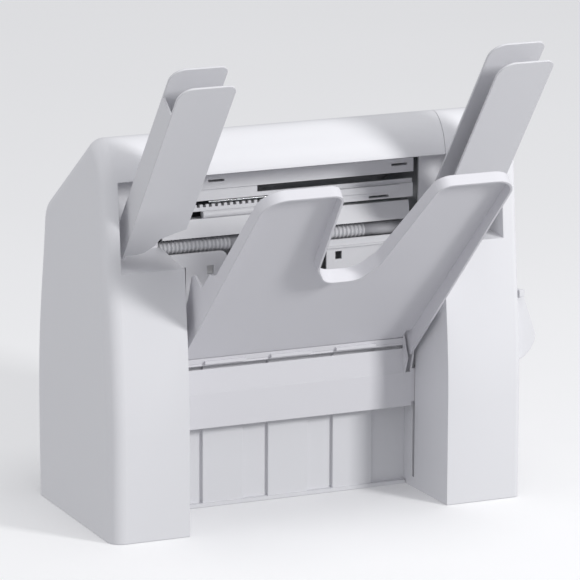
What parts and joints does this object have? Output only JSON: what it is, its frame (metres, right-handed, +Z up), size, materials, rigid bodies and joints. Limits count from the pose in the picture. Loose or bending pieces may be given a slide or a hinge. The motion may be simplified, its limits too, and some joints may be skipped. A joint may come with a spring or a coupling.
{
  "type": "franking machine",
  "caption": "Desktop franking machine seen from its delivery side: leaning catch tray on a sprung lift, channel wings and a roller mouth between its pillars.",
  "frame": {"origin": "middle of the casing's footprint, on the surface it stands on", "axes": "+X to the right seen from the delivery side, -Y towards that side, +Z up"},
  "size_m": [0.4291, 0.3485, 0.4491],
  "materials": {
    "casing": "fine satin moulded plastic",
    "casing_inner": "satin moulded plastic",
    "tray": "satin moulded plastic",
    "carriage": "satin moulded plastic",
    "wing": "satin moulded plastic",
    "guide": "satin moulded plastic",
    "roller": "smooth moulded plastic",
    "dark": "matt dark plastic",
    "steel": "plated sheet steel",
    "shaft": "ground steel",
    "rubber": "matt rubber",
    "board": "lacquered board",
    "glass": "smooth window",
    "key": "satin moulded plastic",
    "start": "satin moulded plastic",
    "stop": "satin moulded plastic",
    "brass": "sintered bush"
  },
  "bodies": {
    "machine": {"main_casing": "casing", "right_casing": "casing", "rear_cover": "casing", "cover_screws": "steel", "base_plate": "steel", "feet": "rubber", "bay_back_panel": "casing_inner", "lower_guide_left": "guide", "lower_guide_right": "guide", "upper_guide": "guide", "comb_bar": "guide", "guide_rail": "guide", "exit_apron": "guide", "carriage_springs": "steel", "wing_pivot_pins": "shaft", "side_frame_left": "steel", "side_frame_right": "steel", "tie_bars": "shaft", "shaft_bearings": "brass", "idler_shafts": "shaft", "feed_deck": "steel", "drive_belt": "rubber", "drive_motor": "steel", "print_carrier": "dark", "ink_cartridge": "dark", "control_board": "board", "power_supply": "steel", "power_inlet": "dark", "switch_frame": "dark", "control_panel": "casing_inner", "display": "glass", "key_board": "board", "door_rod": "steel", "paddle_hinge": "casing"},
    "carriage": {"tray_carriage": "carriage", "tray_pivot_pins": "shaft"},
    "tray": {"delivery_tray": "tray"},
    "wing_left": {"left_wing": "wing"},
    "wing_right": {"right_wing": "wing"},
    "delivery_roller": {"delivery_shaft": "shaft", "ribbed_rollers": "roller", "delivery_pulley": "dark"},
    "feed_roller": {"feed_shaft": "shaft", "feed_rollers": "rubber", "feed_pulley": "dark"},
    "motor_rotor": {"motor_pulley": "dark"},
    "delivery_idler": {"delivery_idlers": "roller"},
    "feed_idler": {"feed_idlers": "roller"},
    "door": {"cartridge_door": "casing"},
    "rocker": {"switch_rocker": "dark"},
    "paddle": {"release_paddle": "casing"},
    "menu_key_cap": {"menu_key": "key"},
    "back_key_cap": {"back_key": "key"},
    "up_key_cap": {"up_key": "key"},
    "down_key_cap": {"down_key": "key"},
    "stop_key_cap": {"stop_key": "stop"},
    "start_key_cap": {"start_key": "start"}
  },
  "joints": [
    {"name": "tray_lift", "type": "slide", "parent": "machine", "child": "carriage", "axis": [0, 0, 1], "range_m": [-0.068, 0], "stiffness_N_per_m": 70, "springref_m": 0.08, "deforming": ["carriage_springs"]},
    {"name": "tray_fold", "type": "hinge", "parent": "carriage", "child": "tray", "pos_m": [0, -0.0255, 0.137], "axis": [-1, 0, 0], "range_deg": [0, 24]},
    {"name": "left_wing_tilt", "type": "hinge", "parent": "machine", "child": "wing_left", "pos_m": [-0.185, -0.044, 0.268], "axis": [1, 0, 0], "range_deg": [-6, 15]},
    {"name": "right_wing_tilt", "type": "hinge", "parent": "machine", "child": "wing_right", "pos_m": [0.185, -0.044, 0.268], "axis": [1, 0, 0], "range_deg": [-6, 15]},
    {"name": "delivery_spin", "type": "hinge", "parent": "machine", "child": "delivery_roller", "pos_m": [0, -0.004, 0.2475], "axis": [1, 0, 0], "continuous": true},
    {"name": "feed_spin", "type": "hinge", "parent": "machine", "child": "feed_roller", "pos_m": [0, 0.048, 0.2475], "axis": [1, 0, 0], "continuous": true},
    {"name": "motor_spin", "type": "hinge", "parent": "machine", "child": "motor_rotor", "pos_m": [0.145, 0.022, 0.206], "axis": [1, 0, 0], "continuous": true},
    {"name": "delivery_idler_spin", "type": "hinge", "parent": "machine", "child": "delivery_idler", "pos_m": [0, -0.004, 0.2604], "axis": [1, 0, 0], "continuous": true},
    {"name": "feed_idler_spin", "type": "hinge", "parent": "machine", "child": "feed_idler", "pos_m": [0, 0.048, 0.2609], "axis": [1, 0, 0], "continuous": true},
    {"name": "door_hinge", "type": "hinge", "parent": "machine", "child": "door", "pos_m": [-0.104, -0.01251, 0.33743], "axis": [1, 0, 0], "range_deg": [0, 75]},
    {"name": "switch_rock", "type": "hinge", "parent": "machine", "child": "rocker", "pos_m": [0.1105, 0.088, 0.0415], "axis": [1, 0, 0], "range_deg": [0, 14]},
    {"name": "paddle_hinge_turn", "type": "hinge", "parent": "machine", "child": "paddle", "pos_m": [0.2077, -0.067, 0.194], "axis": [0, -1, 0], "range_deg": [0, 35]},
    {"name": "menu_key_press", "type": "slide", "parent": "machine", "child": "menu_key_cap", "axis": [0, -0.577, -0.8167], "range_m": [0, 0.0012], "stiffness_N_per_m": 400, "springref_m": -0.0012},
    {"name": "back_key_press", "type": "slide", "parent": "machine", "child": "back_key_cap", "axis": [0, -0.577, -0.8167], "range_m": [0, 0.0012], "stiffness_N_per_m": 400, "springref_m": -0.0012},
    {"name": "up_key_press", "type": "slide", "parent": "machine", "child": "up_key_cap", "axis": [0, -0.577, -0.8167], "range_m": [0, 0.0012], "stiffness_N_per_m": 400, "springref_m": -0.0012},
    {"name": "down_key_press", "type": "slide", "parent": "machine", "child": "down_key_cap", "axis": [0, -0.577, -0.8167], "range_m": [0, 0.0012], "stiffness_N_per_m": 400, "springref_m": -0.0012},
    {"name": "stop_key_press", "type": "slide", "parent": "machine", "child": "stop_key_cap", "axis": [0, -0.577, -0.8167], "range_m": [0, 0.0012], "stiffness_N_per_m": 400, "springref_m": -0.0012},
    {"name": "start_key_press", "type": "slide", "parent": "machine", "child": "start_key_cap", "axis": [0, -0.577, -0.8167], "range_m": [0, 0.0012], "stiffness_N_per_m": 400, "springref_m": -0.0012}
  ],
  "couplings": [
    {"joint": "feed_spin", "follows": "delivery_spin", "ratio": 1},
    {"joint": "motor_spin", "follows": "delivery_spin", "ratio": 1.5},
    {"joint": "delivery_idler_spin", "follows": "delivery_spin", "ratio": -1.2727},
    {"joint": "feed_idler_spin", "follows": "delivery_spin", "ratio": -1.3636}
  ]
}
